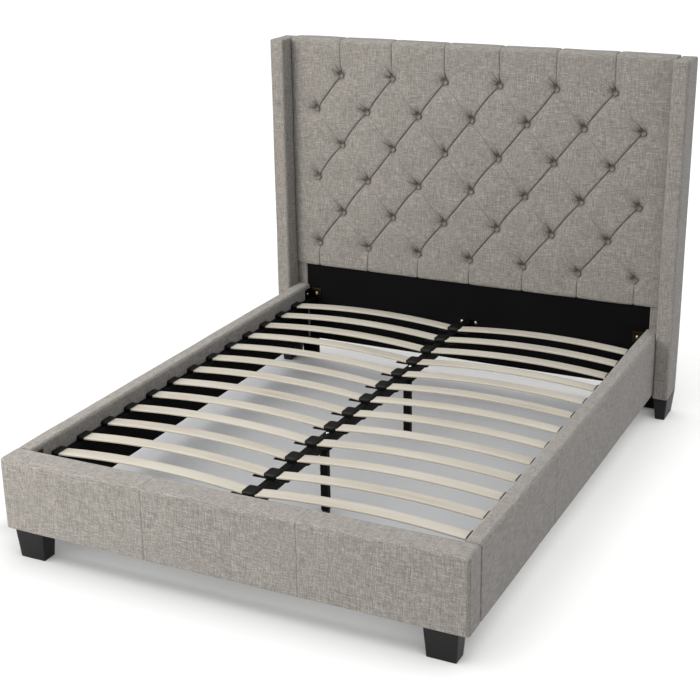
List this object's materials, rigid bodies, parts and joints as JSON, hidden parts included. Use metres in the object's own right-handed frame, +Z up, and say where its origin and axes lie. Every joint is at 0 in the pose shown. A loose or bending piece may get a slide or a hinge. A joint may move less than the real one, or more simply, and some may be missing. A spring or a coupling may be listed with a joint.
{
  "type": "upholstered wingback bed",
  "caption": "Upholstered wingback bed frame with a diamond-tufted headboard, padded rails, block feet and a base of sprung slats on a centre beam with levelling legs.",
  "frame": {"origin": "on the floor under the middle of the bed's overall box", "axes": "+X to the right seen from the foot end, +Y from the foot end to the head end, +Z up"},
  "size_m": [1.824, 2.21, 1.49],
  "materials": {
    "linen": "slubby woven linen blend, matt",
    "birch": "pale laminated birch, fine sanded",
    "black_board": "black painted board, matt",
    "black_lacquer": "black lacquered hardwood, satin",
    "pine": "planed softwood and plywood",
    "back_cloth": "black non-woven cloth",
    "black_steel": "black powder coat, semi-gloss",
    "cap_rubber": "moulded black rubber",
    "glide_plastic": "moulded black nylon",
    "zinc": "yellow passivated zinc plate",
    "bolt_steel": "bright zinc plate"
  },
  "bodies": {
    "bed": {"beam_brackets": "black_steel", "centre_beam": "black_steel", "centre_caps": "cap_rubber", "centre_leg_front": "black_steel", "centre_leg_rear": "black_steel", "corner_brackets": "zinc", "footboard_core": "black_board", "footboard_cover": "linen", "frame_bolts": "bolt_steel", "front_foot_left": "black_lacquer", "front_foot_right": "black_lacquer", "headboard_back_cloth": "back_cloth", "headboard_backboard": "pine", "headboard_battens": "pine", "headboard_buttons": "linen", "headboard_lower_panel": "black_board", "headboard_posts": "black_board", "headboard_tufted_pad": "linen", "leg_bolts": "bolt_steel", "rail_caps": "cap_rubber", "rail_core_left": "black_board", "rail_core_right": "black_board", "rail_cover_left": "linen", "rail_cover_right": "linen", "rear_foot_left": "black_lacquer", "rear_foot_right": "black_lacquer", "slat_ledge_left": "black_board", "slat_ledge_right": "black_board", "slat_left_01": "birch", "slat_left_02": "birch", "slat_left_03": "birch", "slat_left_04": "birch", "slat_left_05": "birch", "slat_left_06": "birch", "slat_left_07": "birch", "slat_left_08": "birch", "slat_left_09": "birch", "slat_left_10": "birch", "slat_left_11": "birch", "slat_left_12": "birch", "slat_left_13": "birch", "slat_right_01": "birch", "slat_right_02": "birch", "slat_right_03": "birch", "slat_right_04": "birch", "slat_right_05": "birch", "slat_right_06": "birch", "slat_right_07": "birch", "slat_right_08": "birch", "slat_right_09": "birch", "slat_right_10": "birch", "slat_right_11": "birch", "slat_right_12": "birch", "slat_right_13": "birch", "wing_core_left": "pine", "wing_core_right": "pine", "wing_cover_left": "linen", "wing_cover_right": "linen"},
    "front_glide": {"glide_front": "glide_plastic"},
    "rear_glide": {"glide_rear": "glide_plastic"}
  },
  "joints": [
    {"name": "front_glide_screw", "type": "slide", "parent": "bed", "child": "front_glide", "axis": [0, 0, -1], "range_m": [0, 0.012]},
    {"name": "rear_glide_screw", "type": "slide", "parent": "bed", "child": "rear_glide", "axis": [0, 0, -1], "range_m": [0, 0.012]}
  ]
}
